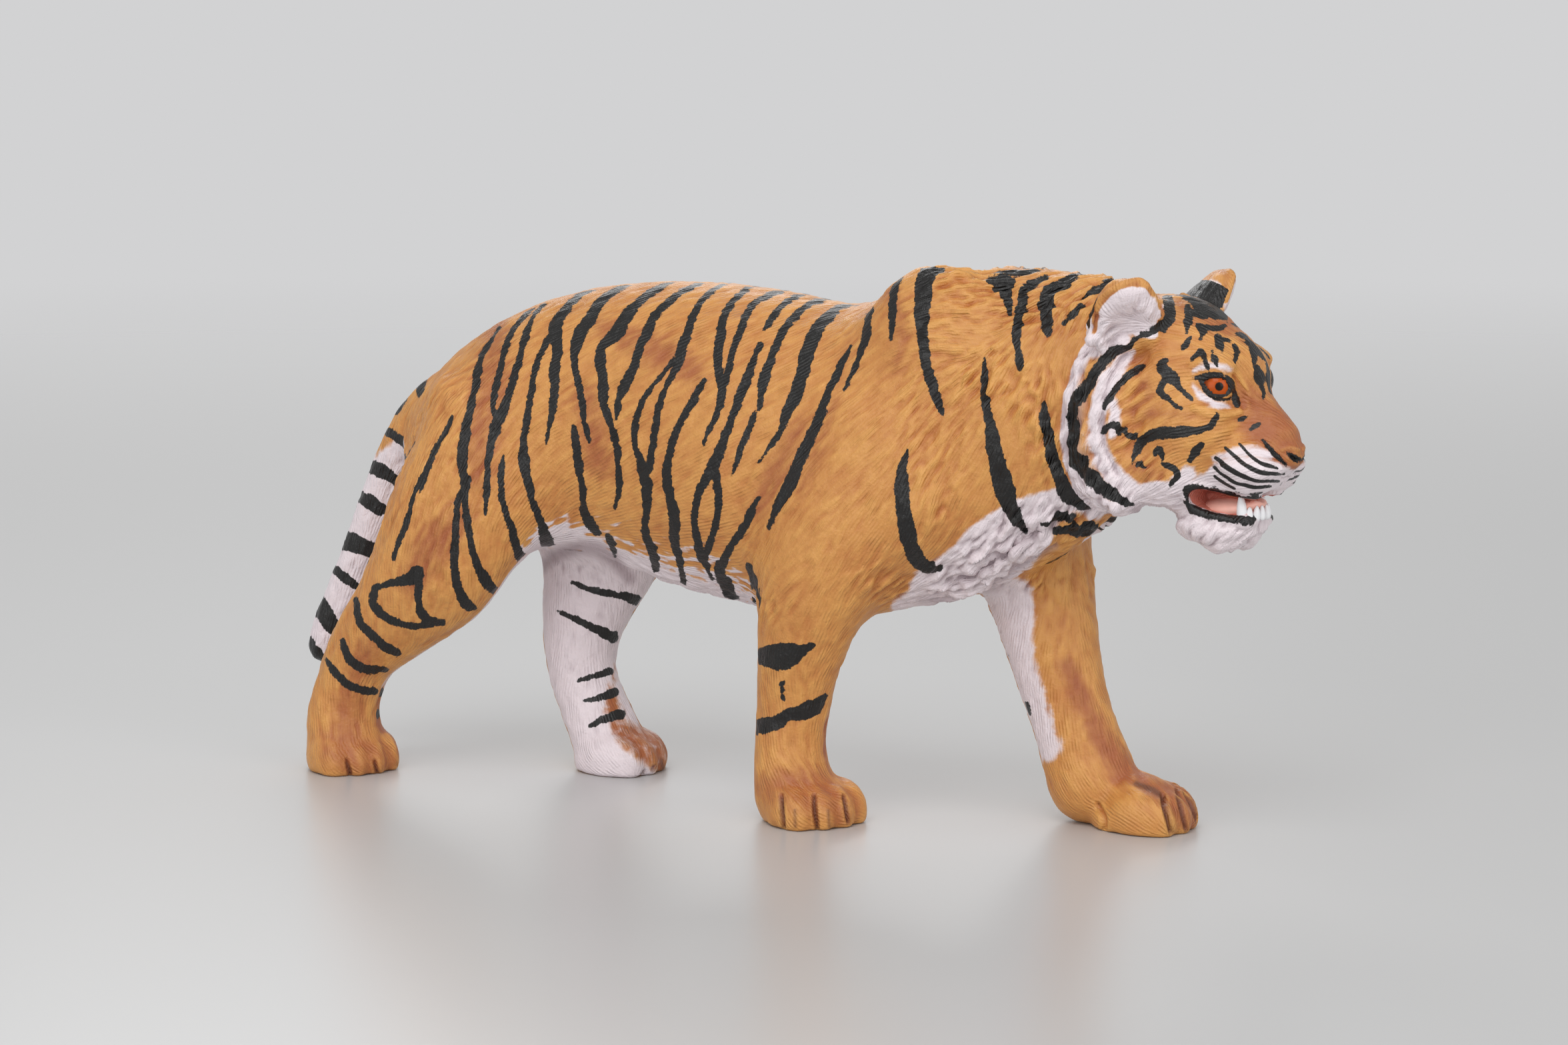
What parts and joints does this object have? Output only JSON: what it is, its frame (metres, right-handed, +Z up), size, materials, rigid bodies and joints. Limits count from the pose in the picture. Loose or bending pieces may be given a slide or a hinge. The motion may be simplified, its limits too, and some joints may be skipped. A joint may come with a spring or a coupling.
{
  "type": "tiger figurine",
  "caption": "Walking tiger figure moulded in one piece, head turned slightly aside with open mouth, standing on the flat soles of its paws.",
  "frame": {"origin": "middle of the figure's outline seen from above, on the level of its soles", "axes": "+X towards the head, +Y towards the animal's left side, +Z up"},
  "size_m": [0.1336, 0.0288, 0.064],
  "materials": {
    "painted_plastic": "satin hand-painted finish over moulded soft plastic with carved fur: ochre coat, black stripes, whitish underside"
  },
  "bodies": {
    "root": {"tiger_figure": "painted_plastic"}
  },
  "joints": []
}
